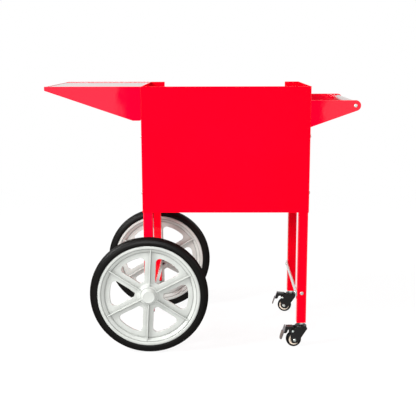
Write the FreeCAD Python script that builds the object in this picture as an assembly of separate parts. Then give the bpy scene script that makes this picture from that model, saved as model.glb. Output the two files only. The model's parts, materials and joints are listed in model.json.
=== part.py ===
"""Wheeled cart for a table-top popcorn machine, as separate pieces in millimetres.

+X points from the side shelf towards the push handle, +Y from the closed front to the open back and +Z up.
The origin is on the floor, at the centre of the whole cart's plan.
"""

import FreeCAD, Part
import math
import os

# Cabinet
body_w = 510.0
body_d = 376.0
body_top = 817.5
body_bottom = 434.5
sheet = 0.8
bend = 0.8
front_return = 24.0
rear_flange = 48.0
hem_w = 7.5
deck_drop = 30.0
floor_lift = 20.0
tray_flange = 18.0
tray_gap = 1.0

# Legs and stretchers
leg_side = 30.0
leg_wall = 1.5
leg_corner = 3.0
caster_leg_bottom = 80.0
wheel_leg_bottom = 118.0
stretcher_h = {-1: 33.0, 1: 20.0}
stretcher_low = 166.5
stretcher_t = 3.0
stretcher_screw_gap = 13.0
stud_end = 4.0
face_bolt_z = 177.0
axle_block_h = 30.0

# Large wheels
wheel_r = 183.0
wheel_offset = 36.4
axle_ahead = 2.5
wheel_rest = {"front": 3.1, "rear": -1.0}
tyre_round = 17.7
rim_r = 161.0
rim_half = 16.0
lip_r = 150.0
web_r = 135.0
web_half = 4.5
bed_r = 153.0
bed_half = 11.0
bed_mouth_half = 12.5
spoke_count = 6
spoke_half = 16.5
window_out_r = 121.0
window_in_r = 46.0
window_out_round = 13.0
window_in_round = 6.0
rib_t = 3.6
rib_half = 13.0
boss_r = 34.0
boss_half = 13.0
sleeve_r = 20.0
sleeve_half = 22.0
cap_r = 25.2
cap_brim = 16.0
cap_face_r = 17.0
cap_face = 27.0
cap_wall = 3.0
cap_seat = 4.0
cap_seat_end = 17.2
axle_r = 6.0
bush_r = 10.0
bush_len = 15.0
running_gap = 0.05
side_play = 0.3

# Shelf
shelf_reach = 287.5
shelf_nose_h = 12.0
shelf_root_h = 101.5
shelf_flat = 24.0
shelf_plate = 1.5
shelf_inset = 2.5
shelf_tab = 25.0
shelf_gap = 0.2
shelf_top_lip = 15.0

# Push handle
handle_plate = 2.0
handle_drop = 41.5
handle_root_h = 80.0
handle_end_r = 16.0
handle_tube_out = 132.5
handle_tube_r = 12.5
handle_tube_wall = 2.0
handle_tab = 22.0
handle_reach = handle_tube_out + handle_end_r

# Casters, measured from the stem's axis with the wheel trailing towards -X
swivel_rest = {"front": 8.0, "rear": -11.0}
caster_trail = 22.5
caster_wheel_r = 24.0
caster_tyre_half = 10.0
caster_core_r = 17.2
caster_core_half = 9.0
fork_inner = 13.0
fork_t = 2.5
fork_boss_r = 11.5
housing_r = 18.5
housing_low = 63.0
housing_high = 71.0
crown_low = 58.0
kingpin_r = 4.0
kingpin_low = 54.5
kingpin_head_r = 6.5
kingpin_head_h = 3.0
stem_r = 5.0
stem_high = 106.0
stem_collar_r = 10.0
socket_h = 22.0
caster_axle_r = 3.0
caster_nut_r = 5.0
caster_nut_h = 3.2
brake_x = -28.5
brake_z = 53.0
brake_pin_r = 2.0
brake_hub_r = 4.6
pedal_top = (-49.0, 70.0)
pedal_foot = (-63.5, 24.0)
pedal_w = 24.0
pedal_t = 2.0
pad_t = 3.0
arm_w = 20.0
flange_t = 2.0

# Fasteners: (shank radius, head radius, head height)
M5 = (2.5, 4.75, 2.75)
M5_nut = (4.6, 5.0)
M6 = (3.0, 5.5, 3.3)
M12_head = (10.4, 7.5)
M12_washer = (12.0, 1.5)
shank_play = 0.2
rivet_nut_r = 4.5
rivet_nut_len = 10.0

# Places that follow from the sizes above
body_x = (shelf_reach - handle_reach) / 2
left = body_x - body_w / 2
right = body_x + body_w / 2
front = -body_d / 2
rear = body_d / 2
leg_inset = 2 * sheet
leg_centre_in = leg_inset + leg_side / 2
deck_z = body_top - deck_drop
floor_z = body_bottom + floor_lift
ENDS = {"front": -1, "rear": 1}
SIDES = {"left": -1, "right": 1}


def vec(x, y, z):
    return FreeCAD.Vector(x, y, z)


def block(x0, x1, y0, y1, z0, z1):
    low = vec(min(x0, x1), min(y0, y1), min(z0, z1))
    return Part.makeBox(abs(x1 - x0), abs(y1 - y0), abs(z1 - z0), low)


def rod(start, direction, radius, length):
    return Part.makeCylinder(radius, length, start, direction)


def ring(start, direction, outer, inner, length):
    return rod(start, direction, outer, length).cut(rod(start, direction, inner, length))


def hex_prism(start, direction, corner_r, length):
    across = direction.cross(vec(0, 0, 1))
    if across.Length < 0.5:
        across = vec(1, 0, 0)
    across.normalize()
    up = direction.cross(across)
    corners = []
    for i in range(6):
        turn = math.radians(60 * i)
        corners.append(start + across * (corner_r * math.cos(turn)) + up * (corner_r * math.sin(turn)))
    return Part.Face(Part.makePolygon(corners + corners[:1])).extrude(direction * length)


def fuse(shapes):
    shapes = list(shapes)
    return shapes[0].multiFuse(shapes[1:]).removeSplitter() if len(shapes) > 1 else shapes[0]


def rounded_face(points, radii, place):
    """A face whose outline has a round corner at each point that has a radius; place maps (u, v) to 3-D."""
    count = len(points)
    starts = []
    arcs = []
    for i in range(count):
        here = vec(*points[i], 0)
        before = (vec(*points[i - 1], 0) - here).normalize()
        after = (vec(*points[(i + 1) % count], 0) - here).normalize()
        if radii[i] <= 0:
            starts.append((here, here))
            arcs.append(None)
            continue
        half = before.getAngle(after) / 2
        reach = radii[i] / math.tan(half)
        bisector = (before + after).normalize()
        middle = here + bisector * (radii[i] / math.sin(half) - radii[i])
        starts.append((here + before * reach, here + after * reach))
        arcs.append(middle)
    edges = []
    for i in range(count):
        first, last = starts[i]
        if arcs[i] is not None:
            edges.append(Part.Arc(place(first), place(arcs[i]), place(last)).toShape())
        following = starts[(i + 1) % count][0]
        if (following - last).Length > 1e-6:
            edges.append(Part.LineSegment(place(last), place(following)).toShape())
    return Part.Face(Part.Wire(edges))


def flat_xy(z):
    return lambda p: vec(p.x, p.y, z)


def flat_xz(y):
    return lambda p: vec(p.x, y, p.y)


def bolt(under_head, inward, size, length):
    """A button-head bolt: the head stands out against inward, and the shank runs along inward."""
    shank_r, head_r, head_h = size
    head = rod(under_head, inward * -1, head_r, head_h)
    rim = [e for e in head.Edges if (e.CenterOfMass - under_head).Length > head_h / 2 and e.Closed]
    head = head.makeFillet(head_h * 0.6, rim)
    socket = hex_prism(under_head - inward * head_h, inward, shank_r * 0.75, head_h * 0.6)
    return head.cut(socket).fuse(rod(under_head, inward, shank_r, length))


def leg_centre(side, end):
    x = body_x + side * (body_w / 2 - leg_centre_in)
    y = end * (body_d / 2 - leg_centre_in)
    return x, y


# ---- cabinet -----------------------------------------------------------------------------------------------

def panel_bolt_places():
    """Each bolt that holds a side panel to a leg: (side, x of the outermost sheet's face, y, z)."""
    places = []
    for side in SIDES.values():
        for end in ENDS.values():
            y = leg_centre(side, end)[1]
            outermost = body_w / 2 if end < 0 else body_w / 2 - sheet
            for z in (body_bottom + 60.0, body_top - 150.0):
                places.append((side, body_x + side * outermost, y, z))
    return places


def tray_bolt_places():
    """Each bolt that holds the deck or the storage floor to a side panel."""
    places = []
    for side in SIDES.values():
        for end in ENDS.values():
            for z in (deck_z - 10.0, floor_z - 10.0):
                places.append((side, body_x + side * (body_w / 2 - sheet), end * body_d / 4, z))
    return places


def bracket_bolt_places(side):
    """Each bolt that holds the shelf (left) or the push handle (right) to a leg: (y, z)."""
    if side < 0:
        heights = (body_top - 45.0, body_top - shelf_root_h + 22.0)
    else:
        heights = (body_top - handle_drop - 20.0, body_top - handle_drop - handle_root_h + 20.0)
    return [(leg_centre(side, end)[1], z) for end in ENDS.values() for z in heights]


def drill_side(shape, side):
    """Cuts the bolt holes that go through a side panel, a front return or a tray flange on one side."""
    reach = 6.0
    holes = []
    for s, x, y, z in panel_bolt_places():
        if s == side:
            holes.append(rod(vec(x + side * 2, y, z), vec(-side, 0, 0), M6[0] + shank_play, reach - 1.0))
    for s, x, y, z in tray_bolt_places():
        if s == side:
            holes.append(rod(vec(x + side * 2, y, z), vec(-side, 0, 0), M5[0] + shank_play, reach))
    face = body_x + side * body_w / 2
    for y, z in bracket_bolt_places(side):
        holes.append(rod(vec(face + side * 2, y, z), vec(-side, 0, 0), M6[0] + shank_play, reach))
    return shape.cut(Part.makeCompound(holes))


def front_panel():
    """A full-width sheet with returns folded back along both sides, a top hem and a bottom lip."""
    out = body_w / 2
    t = sheet
    points = [(body_x - out, front + front_return), (body_x - out, front), (body_x + out, front),
              (body_x + out, front + front_return), (body_x + out - t, front + front_return),
              (body_x + out - t, front + t), (body_x - out + t, front + t),
              (body_x - out + t, front + front_return)]
    radii = [0, bend + t, bend + t, 0, 0, bend, bend, 0]
    pan = rounded_face(points, radii, flat_xy(body_bottom)).extrude(vec(0, 0, body_top - body_bottom))
    inner = out - 4 * t
    hem = block(body_x - inner, body_x + inner, front + t / 2, front + 2 * t, body_top - hem_w, body_top)
    lip_half = out - leg_inset - leg_side - tray_gap
    lip_ends = (body_x - lip_half, body_x + lip_half)
    lip = block(*lip_ends, front + t / 2, front + 14.0, body_bottom, body_bottom + t)
    pan = fuse([pan, hem, lip])
    for side in SIDES.values():
        pan = drill_side(pan, side)
    return pan


def side_panel(side):
    """A side sheet with a flange folded across the back's corner; its top and inner edges are hemmed."""
    t = sheet
    out = body_w / 2 - t
    start = front + 2 * t + bend
    outer_x = body_x + side * out
    inner_x = body_x + side * (out - t)
    edge_x = body_x + side * (out - rear_flange)
    points = [(outer_x, start), (outer_x, rear), (edge_x, rear), (edge_x, rear - t), (inner_x, rear - t),
              (inner_x, start)]
    wall = rounded_face(points, [0, bend + t, 0, 0, bend, 0], flat_xy(body_bottom))
    wall = wall.extrude(vec(0, 0, body_top - body_bottom))
    edge_hem = block(edge_x, edge_x + side * hem_w, rear - 2 * t, rear - t / 2, body_bottom, body_top)
    corner_gap = 3 * t
    hem_end = inner_x - side * corner_gap
    flange_hem = block(edge_x, hem_end, rear - 2 * t, rear - t / 2, body_top - hem_w, body_top)
    side_hem = block(outer_x - side * t / 2, inner_x - side * t, start + front_return, rear - corner_gap,
                     body_top - hem_w, body_top)
    return drill_side(fuse([wall, edge_hem, flange_hem, side_hem]), side)


def tray(top_z, notched):
    """A flat tray between the side panels with its edges folded down between the legs."""
    half_x = body_w / 2 - 2 * sheet
    half_y = body_d / 2 - leg_inset
    plate = block(body_x - half_x, body_x + half_x, -half_y, half_y, top_z - sheet, top_z)
    clear = leg_inset + leg_side + tray_gap
    low = top_z - tray_flange
    along_x = body_w / 2 - clear
    along_y = body_d / 2 - clear
    folds = []
    for end in ENDS.values():
        near_y = end * (half_y - sheet)
        folds.append(block(body_x - along_x, body_x + along_x, end * half_y, near_y, low, top_z))
    for side in SIDES.values():
        x = body_x + side * half_x
        folds.append(block(x, x - side * sheet, -along_y, along_y, low, top_z))
    shape = fuse([plate] + folds)
    if notched:
        for side in SIDES.values():
            for end in ENDS.values():
                corner_x = body_x + side * (half_x + 1.0)
                corner_y = end * (half_y + 1.0)
                notch = leg_side + 1.0 + tray_gap
                shape = shape.cut(block(corner_x, corner_x - side * notch, corner_y, corner_y - end * notch,
                                        top_z - sheet - 1.0, top_z + 1.0))
    for side in SIDES.values():
        shape = drill_side(shape, side)
    return shape


# ---- legs and stretchers -----------------------------------------------------------------------------------

def square_face(x, y, half, corner, z):
    points = [(x - half, y - half), (x + half, y - half), (x + half, y + half), (x - half, y + half)]
    return rounded_face(points, [corner] * 4, flat_xy(z))


def stretcher_screw_places():
    """Each small screw or stud that holds a stretcher to a leg: two on the wheels' side, one on the casters'."""
    places = []
    for side, steps in ((-1, (-0.5, 0.5)), (1, (0.0,))):
        centre = stretcher_low + stretcher_h[side] / 2
        for end in ENDS.values():
            y = leg_centre(side, end)[1]
            places += [(side, y, centre + step * stretcher_screw_gap) for step in steps]
    return places


def stretcher_face(side):
    """The x of a leg's inner face, where the stretcher lies."""
    return body_x + side * (body_w / 2 - leg_inset - leg_side)


def leg(side, end):
    """A square tube from the foot up to the underside of the deck."""
    x, y = leg_centre(side, end)
    low = wheel_leg_bottom if side < 0 else caster_leg_bottom
    height = deck_z - sheet - low
    half = leg_side / 2
    tube = square_face(x, y, half, leg_corner, low).extrude(vec(0, 0, height))
    inside = square_face(x, y, half - leg_wall, leg_corner - leg_wall, low).extrude(vec(0, 0, height))
    tube = tube.cut(inside)
    holes = []
    for s, nut_y, z in rivet_nut_places():
        if s == side and abs(nut_y - y) < 1:
            holes.append(rod(vec(x + side * (half + 1), nut_y, z), vec(-side, 0, 0), rivet_nut_r, 5.0))
    for s, screw_y, z in stretcher_screw_places():
        if s == side and abs(screw_y - y) < 1:
            start = vec(x - side * (half + 1), screw_y, z)
            holes.append(rod(start, vec(side, 0, 0), M5[0], 5.0))
    if side < 0:
        holes.append(rod(vec(x + axle_ahead, y + end * (half + 1), wheel_r), vec(0, -end, 0), axle_r, 5.0))
    else:
        holes.append(rod(vec(x, y + end * (half + 1), face_bolt_z), vec(0, -end, 0), rivet_nut_r, 5.0))
    return tube.cut(Part.makeCompound(holes))


def rivet_nut_places():
    """Each threaded insert in a leg's outer wall: (side, y, z)."""
    places = [(side, y, z) for side, x, y, z in panel_bolt_places()]
    for side in SIDES.values():
        places += [(side, y, z) for y, z in bracket_bolt_places(side)]
    return places


def rivet_nuts():
    nuts = []
    for side, y, z in rivet_nut_places():
        wall_x = body_x + side * (body_w / 2 - leg_inset)
        nuts.append(ring(vec(wall_x, y, z), vec(-side, 0, 0), rivet_nut_r, M6[0], rivet_nut_len))
    return nuts


def panel_bolts():
    return [bolt(vec(x, y, z), vec(-side, 0, 0), M6, 13.0) for side, x, y, z in panel_bolt_places()]


def tray_bolts():
    """Bolts with plain nuts behind the folded edges of the deck and the floor."""
    pieces = []
    for side, x, y, z in tray_bolt_places():
        inward = vec(-side, 0, 0)
        shank = bolt(vec(x, y, z), inward, M5, 8.0)
        nut = hex_prism(vec(x - side * 2 * sheet, y, z), inward, 4.6, 4.0)
        pieces.append(shank.fuse(nut))
    return pieces


def stretcher(side):
    """A flat strap across the inner faces of one side's two legs."""
    x = stretcher_face(side)
    half_y = body_d / 2 - leg_inset
    high = stretcher_low + stretcher_h[side]
    points = [(-half_y, stretcher_low), (half_y, stretcher_low), (half_y, high), (-half_y, high)]
    strap = rounded_face(points, [3.0] * 4, lambda p: vec(x, p.x, p.y)).extrude(vec(-side * stretcher_t, 0, 0))
    for s, y, z in stretcher_screw_places():
        if s == side:
            strap = strap.cut(rod(vec(x, y, z), vec(-side, 0, 0), M5[0] + shank_play, stretcher_t))
    return strap


def stretcher_screws():
    """Button-head screws through the strap into the walls of the caster legs."""
    screws = []
    for side, y, z in stretcher_screw_places():
        if side > 0:
            x = stretcher_face(side) - side * stretcher_t
            screws.append(bolt(vec(x, y, z), vec(side, 0, 0), M5, stretcher_t + leg_wall))
    return screws


def stretcher_nuts():
    """Studs in the walls of the wheel legs; each ends in bare thread beyond the nut on the strap."""
    nuts = []
    for side, y, z in stretcher_screw_places():
        if side < 0:
            inward = vec(-side, 0, 0)
            start = vec(stretcher_face(side) + side * leg_wall, y, z)
            clamp = leg_wall + stretcher_t
            stud = rod(start, inward, M5[0], clamp + M5_nut[1] + stud_end)
            nuts.append(stud.fuse(hex_prism(start + inward * clamp, inward, *M5_nut)))
    return nuts


def axle_blocks():
    """Square blocks inside the wheel legs, threaded for the axles."""
    blocks = []
    half = leg_side / 2 - leg_wall
    low = wheel_r - axle_block_h / 2
    for end in ENDS.values():
        x, y = leg_centre(-1, end)
        insert = square_face(x, y, half, leg_corner - leg_wall, low).extrude(vec(0, 0, axle_block_h))
        blocks.append(insert.cut(rod(vec(x + axle_ahead, y - half, wheel_r), vec(0, 1, 0), axle_r, 2 * half)))
    return blocks


def leg_plugs():
    """Push-in plastic ends under the two wheel legs."""
    plugs = []
    for end in ENDS.values():
        x, y = leg_centre(-1, end)
        cap = square_face(x, y, leg_side / 2, leg_corner, wheel_leg_bottom - 2.5).extrude(vec(0, 0, 2.5))
        insert = square_face(x, y, leg_side / 2 - leg_wall, leg_corner - leg_wall, wheel_leg_bottom - 2.5)
        plugs.append(cap.fuse(insert.extrude(vec(0, 0, 14.5))))
    return plugs


def face_bolt_places():
    """The outer face of each caster leg at the wheel axles' height: (x, y, direction into the leg)."""
    places = []
    for end in ENDS.values():
        x, y = leg_centre(1, end)
        places.append((x, y + end * leg_side / 2, vec(0, -end, 0)))
    return places


def face_bolts():
    """A short bolt in a threaded insert in the outer face of each caster leg."""
    pieces = []
    for x, y, inward in face_bolt_places():
        start = vec(x, y, face_bolt_z)
        insert = ring(start, inward, rivet_nut_r, M6[0], rivet_nut_len)
        pieces.append(bolt(start, inward, M6, 13.0).fuse(insert))
    return pieces


def caster_sockets():
    """Square inserts in the caster legs' ends, threaded for the caster stems."""
    pieces = []
    half = leg_side / 2 - leg_wall
    for end in ENDS.values():
        x, y = leg_centre(1, end)
        insert = square_face(x, y, half, leg_corner - leg_wall, caster_leg_bottom).extrude(vec(0, 0, socket_h))
        pieces.append(insert.cut(rod(vec(x, y, caster_leg_bottom), vec(0, 0, 1), stem_r, socket_h)))
    return pieces


# ---- large wheels ------------------------------------------------------------------------------------------
# A wheel is drawn about the Y axis with its outer face towards -Y, then carried to its place.

def turned(points, arcs=()):
    """Turns a closed (offset, radius) outline about Y; arcs maps a point's index to the arc point after it."""
    middles = dict(arcs)
    edges = []
    for i, (u, r) in enumerate(points):
        here = vec(r, u, 0)
        u_next, r_next = points[(i + 1) % len(points)]
        following = vec(r_next, u_next, 0)
        if i in middles:
            u_mid, r_mid = middles[i]
            edges.append(Part.Arc(here, vec(r_mid, u_mid, 0), following).toShape())
        else:
            edges.append(Part.LineSegment(here, following).toShape())
    return Part.Face(Part.Wire(edges)).revolve(vec(0, 0, 0), vec(0, 1, 0), 360)


def wheel_window():
    """The opening between two spokes: straight sides along the spokes, round hub and rim sides."""
    half_turn = math.pi / spoke_count
    corners = []
    for radius in (window_in_r, window_out_r):
        turn = half_turn - math.asin(spoke_half / radius)
        corners.append((radius * math.cos(turn), radius * math.sin(turn)))
    (in_x, in_z), (out_x, out_z) = corners
    y = -web_half - 1
    edges = [Part.LineSegment(vec(in_x, y, -in_z), vec(out_x, y, -out_z)).toShape(),
             Part.Arc(vec(out_x, y, -out_z), vec(window_out_r, y, 0), vec(out_x, y, out_z)).toShape(),
             Part.LineSegment(vec(out_x, y, out_z), vec(in_x, y, in_z)).toShape(),
             Part.Arc(vec(in_x, y, in_z), vec(window_in_r, y, 0), vec(in_x, y, -in_z)).toShape()]
    prism = Part.Face(Part.Wire(edges)).extrude(vec(0, 2 * web_half + 2, 0))
    prism = prism.makeFillet(window_out_round, corner_edges(prism, out_x, out_z))
    return prism.makeFillet(window_in_round, corner_edges(prism, in_x, in_z))


def corner_edges(prism, x, z):
    """The two edges along Y that stand at (x, z) and (x, -z)."""
    found = []
    for edge in prism.Edges:
        middle = edge.CenterOfMass
        if math.hypot(middle.x - x, abs(middle.z) - z) < 1e-3:
            found.append(edge)
    return found


def wheel_rim():
    """A moulded rim: tyre bed, two sloping lips, a flat web with six windows, thin spoke ribs and the hub."""
    section = [(-rim_half, lip_r), (-rim_half, rim_r - 2), (-rim_half + 2, rim_r), (-bed_mouth_half, rim_r),
               (-bed_half, bed_r), (bed_half, bed_r), (bed_mouth_half, rim_r), (rim_half - 2, rim_r),
               (rim_half, rim_r - 2), (rim_half, lip_r), (web_half + 1, web_r), (-web_half - 1, web_r)]
    band = turned(section)
    web = rod(vec(0, -web_half, 0), vec(0, 1, 0), web_r + 2, 2 * web_half)
    window = wheel_window()
    windows = []
    for i in range(spoke_count):
        piece = window.copy()
        piece.rotate(vec(0, 0, 0), vec(0, 1, 0), 360 / spoke_count * i)
        windows.append(piece)
    web = web.cut(Part.makeCompound(windows))
    climb = (rib_half - web_half - 1) / (rim_half - web_half - 1)
    rib_end = web_r + climb * (lip_r - web_r) + 0.5
    ribs = []
    for i in range(spoke_count):
        rib = block(-rib_t / 2, rib_t / 2, -rib_half, rib_half, boss_r - 6, rib_end)
        rib.rotate(vec(0, 0, 0), vec(0, 1, 0), 360 / spoke_count * i)
        ribs.append(rib)
    boss = rod(vec(0, -boss_half, 0), vec(0, 1, 0), boss_r, 2 * boss_half)
    sleeve = rod(vec(0, 0, 0), vec(0, 1, 0), sleeve_r, sleeve_half)
    seat_r = cap_r - cap_wall
    seat = rod(vec(0, -boss_half - cap_seat, 0), vec(0, 1, 0), seat_r, cap_seat)
    rim = fuse([band, web] + ribs + [boss, sleeve, seat])
    bore = rod(vec(0, -sleeve_half, 0), vec(0, 1, 0), bush_r, 3 * sleeve_half)
    pocket = rod(vec(0, -boss_half - cap_seat, 0), vec(0, 1, 0), seat_r - 4.0, cap_seat)
    return rim.cut(bore).cut(pocket)


def wheel_tyre():
    """A solid rubber tyre, round outside, with a tapered foot that fills the rim's bed."""
    centre = wheel_r - tyre_round
    half = math.sqrt(tyre_round ** 2 - (rim_r - centre) ** 2)
    points = [(-half, rim_r), (half, rim_r), (bed_mouth_half, rim_r), (bed_half, bed_r), (-bed_half, bed_r),
              (-bed_mouth_half, rim_r)]
    return turned(points, {0: (0, wheel_r)})


def wheel_cap():
    """A hollow snap-on hub cap: a short brim, a cone and a flat disc."""
    low = -boss_half
    seat_r = cap_r - cap_wall
    inner_face = -cap_face + cap_wall
    points = [(low, seat_r), (low, cap_r), (-cap_brim, cap_r), (-cap_face, cap_face_r), (-cap_face, 0.0),
              (inner_face, 0.0), (inner_face, cap_face_r - cap_wall / 2), (-cap_seat_end, seat_r)]
    return turned(points)


def wheel_bushes():
    """A plain nylon bush at each end of the hub's bore."""
    outer = ring(vec(0, -boss_half, 0), vec(0, 1, 0), bush_r, axle_r + running_gap, bush_len)
    inner = ring(vec(0, sleeve_half, 0), vec(0, -1, 0), bush_r, axle_r + running_gap, bush_len)
    return [outer, inner]


def carry_wheel(shape, end):
    """Carries a wheel piece to the front or the rear wheel's place."""
    x = leg_centre(-1, end)[0] + axle_ahead
    placed = shape.copy()
    if end > 0:
        placed.rotate(vec(0, 0, 0), vec(0, 0, 1), 180)
    placed.rotate(vec(0, 0, 0), vec(0, 1, 0), wheel_rest["front" if end < 0 else "rear"])
    placed.translate(vec(x, end * (body_d / 2 + wheel_offset), wheel_r))
    return placed


def axle():
    """A stub axle, screwed into the block in its leg; its other threaded end is inside the hub cap."""
    inner_end = wheel_offset + leg_inset + leg_side - leg_wall
    outer_end = -boss_half - side_play - M12_washer[1] - 8.5
    return rod(vec(0, outer_end, 0), vec(0, 1, 0), axle_r, inner_end - outer_end)


def axle_spacer():
    start = sleeve_half + side_play
    return ring(vec(0, start, 0), vec(0, 1, 0), 10.0, axle_r, wheel_offset + leg_inset - start)


def axle_washer():
    start = -boss_half - side_play
    return ring(vec(0, start, 0), vec(0, -1, 0), M12_washer[0], axle_r, M12_washer[1])


def axle_nut():
    start = -boss_half - side_play - M12_washer[1]
    nut = hex_prism(vec(0, start, 0), vec(0, -1, 0), M12_head[0], 7.0)
    return nut.cut(rod(vec(0, start, 0), vec(0, -1, 0), axle_r, 7.0))


# ---- shelf -------------------------------------------------------------------------------------------------

def shelf_wing(end):
    """A long triangular side plate of the shelf, with a tab folded inwards to bolt on the cabinet."""
    tip = left - shelf_reach
    root = left - shelf_gap
    y = end * body_d / 2
    points = [(tip, body_top), (root, body_top), (root, body_top - shelf_root_h),
              (root - shelf_flat, body_top - shelf_root_h), (tip, body_top - shelf_nose_h)]
    wing = rounded_face(points, [2.0, 1.0, 3.0, 12.0, 2.0], flat_xz(y)).extrude(vec(0, -end * shelf_plate, 0))
    tab = block(root, root - shelf_plate, y - end * shelf_plate / 2, y - end * (shelf_tab + shelf_plate),
                body_top - shelf_root_h + 3.0, body_top - shelf_inset - shelf_plate)
    wing = fuse([wing, tab])
    for bolt_y, z in bracket_bolt_places(-1):
        if bolt_y * end > 0:
            wing = wing.cut(rod(vec(root, bolt_y, z), vec(-1, 0, 0), M6[0] + shank_play, shelf_plate + 1))
    return wing


def shelf_nose():
    """The folded rail that joins the two wings at the shelf's outer end."""
    tip = left - shelf_reach
    half_y = body_d / 2 - shelf_plate
    face = block(tip, tip + shelf_plate, -half_y, half_y, body_top - shelf_nose_h, body_top - 1.0)
    low = body_top - shelf_nose_h
    fold = block(tip, tip + 18.0, -half_y, half_y, low, low + shelf_plate)
    return fuse([face, fold])


def shelf_top():
    """A stainless tray top set just below the wings' upper edges, with its long edges folded down."""
    tip = left - shelf_reach + shelf_plate
    root = left - shelf_gap
    half_y = body_d / 2 - shelf_plate
    z = body_top - shelf_inset
    plate = block(tip, root, -half_y, half_y, z - shelf_plate, z)
    folds = []
    for end in ENDS.values():
        folds.append(block(tip + 60.0, root - 30.0, end * half_y, end * (half_y - shelf_plate),
                           z - shelf_top_lip, z))
    top = fuse([plate] + folds)
    for x, y, end in shelf_rivet_places():
        top = top.cut(rod(vec(x, y, shelf_rivet_z()), vec(0, -end, 0), 2.0, shelf_plate + 0.5))
    return top


def shelf_rivet_z():
    return body_top - shelf_inset - shelf_top_lip + 6.0


def shelf_rivet_places():
    """Blind fixings inside the shelf, one near each end of each folded edge."""
    places = []
    for end in ENDS.values():
        for x in (left - shelf_reach + 90.0, left - 60.0):
            places.append((x, end * (body_d / 2 - shelf_plate), end))
    return places


def shelf_studs():
    """Short welded studs inside the wings, with flat nuts that clamp the top's folded edges."""
    pieces = []
    for x, y, end in shelf_rivet_places():
        stud = rod(vec(x, y, shelf_rivet_z()), vec(0, -end, 0), 2.0, shelf_plate + 5.0)
        nut = hex_prism(vec(x, y - end * shelf_plate, shelf_rivet_z()), vec(0, -end, 0), 4.0, 3.2)
        pieces.append(stud.fuse(nut))
    return pieces


def bracket_bolts(side, stand_off):
    """Bolts through a bracket's tab and the sheets into the legs; stand_off is the tab's outer face."""
    pieces = []
    for y, z in bracket_bolt_places(side):
        under_head = vec(body_x + side * (body_w / 2 + stand_off), y, z)
        pieces.append(bolt(under_head, vec(-side, 0, 0), M6, stand_off + leg_inset + rivet_nut_len))
    return pieces


# ---- push handle -------------------------------------------------------------------------------------------

def handle_side(end):
    """A tapered plate with a round outer end, and a tab folded inwards to bolt on the cabinet."""
    y = end * body_d / 2
    root = right
    top = body_top - handle_drop
    eye_x = right + handle_tube_out
    eye_z = top - handle_end_r
    low = top - handle_root_h
    reach_x = eye_x - root
    reach_z = eye_z - low
    distance = math.hypot(reach_x, reach_z)
    turn = math.atan2(reach_z, reach_x) - math.asin(handle_end_r / distance)
    touch_x = eye_x + handle_end_r * math.sin(turn)
    touch_z = eye_z - handle_end_r * math.cos(turn)
    middle = turn / 2
    place = flat_xz(y)
    corners = [vec(root, low, 0), vec(root, top, 0), vec(eye_x, top, 0), vec(touch_x, touch_z, 0)]
    arc_mid = vec(eye_x + handle_end_r * math.cos(middle), eye_z + handle_end_r * math.sin(middle), 0)
    edges = [Part.LineSegment(place(corners[0]), place(corners[1])).toShape(),
             Part.LineSegment(place(corners[1]), place(corners[2])).toShape(),
             Part.Arc(place(corners[2]), place(arc_mid), place(corners[3])).toShape(),
             Part.LineSegment(place(corners[3]), place(corners[0])).toShape()]
    plate = Part.Face(Part.Wire(edges)).extrude(vec(0, -end * handle_plate, 0))
    tab = block(root, root + handle_plate, y - end * handle_plate / 2, y - end * (handle_tab + handle_plate),
                low + 8.0, top - 3.0)
    plate = fuse([plate, tab])
    plate = plate.cut(rod(vec(eye_x, y, eye_z), vec(0, -end, 0), M6[0] + shank_play, handle_plate))
    for bolt_y, z in bracket_bolt_places(1):
        if bolt_y * end > 0:
            plate = plate.cut(rod(vec(root, bolt_y, z), vec(1, 0, 0), M6[0] + shank_play, handle_plate))
    return plate


def handle_tube():
    """The grip: a steel tube between the plates with a threaded plug in each end."""
    half = body_d / 2 - handle_plate
    x = right + handle_tube_out
    z = body_top - handle_drop - handle_end_r
    start = vec(x, -half, z)
    tube = ring(start, vec(0, 1, 0), handle_tube_r, handle_tube_r - handle_tube_wall, 2 * half)
    plugs = []
    for end in ENDS.values():
        plug_r = handle_tube_r - handle_tube_wall / 2
        plugs.append(ring(vec(x, end * half, z), vec(0, -end, 0), plug_r, M6[0], 14.0))
    return fuse([tube] + plugs)


def handle_end_bolts():
    x = right + handle_tube_out
    z = body_top - handle_drop - handle_end_r
    return [bolt(vec(x, end * body_d / 2, z), vec(0, -end, 0), M6, 14.0) for end in ENDS.values()]


# ---- casters -----------------------------------------------------------------------------------------------
# A caster is drawn about its stem's axis, trailing towards -X, then turned and carried to its leg.

def carry_caster(shape, name):
    x, y = leg_centre(1, ENDS[name])
    placed = shape.copy()
    placed.rotate(vec(0, 0, 0), vec(0, 0, 1), swivel_rest[name])
    placed.translate(vec(x, y, 0))
    return placed


def caster_stem():
    """The fixed stem: threaded end, hexagon under the leg, kingpin and its riveted head."""
    up = vec(0, 0, 1)
    thread = rod(vec(0, 0, caster_leg_bottom), up, stem_r, stem_high - caster_leg_bottom)
    collar_low = housing_high + 1.0
    collar = hex_prism(vec(0, 0, collar_low), up, stem_collar_r, caster_leg_bottom - collar_low)
    kingpin = rod(vec(0, 0, kingpin_low), up, kingpin_r, housing_high + 1.0 - kingpin_low)
    head = rod(vec(0, 0, kingpin_low), up, kingpin_head_r, kingpin_head_h)
    return fuse([thread, collar, kingpin, head])


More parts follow.
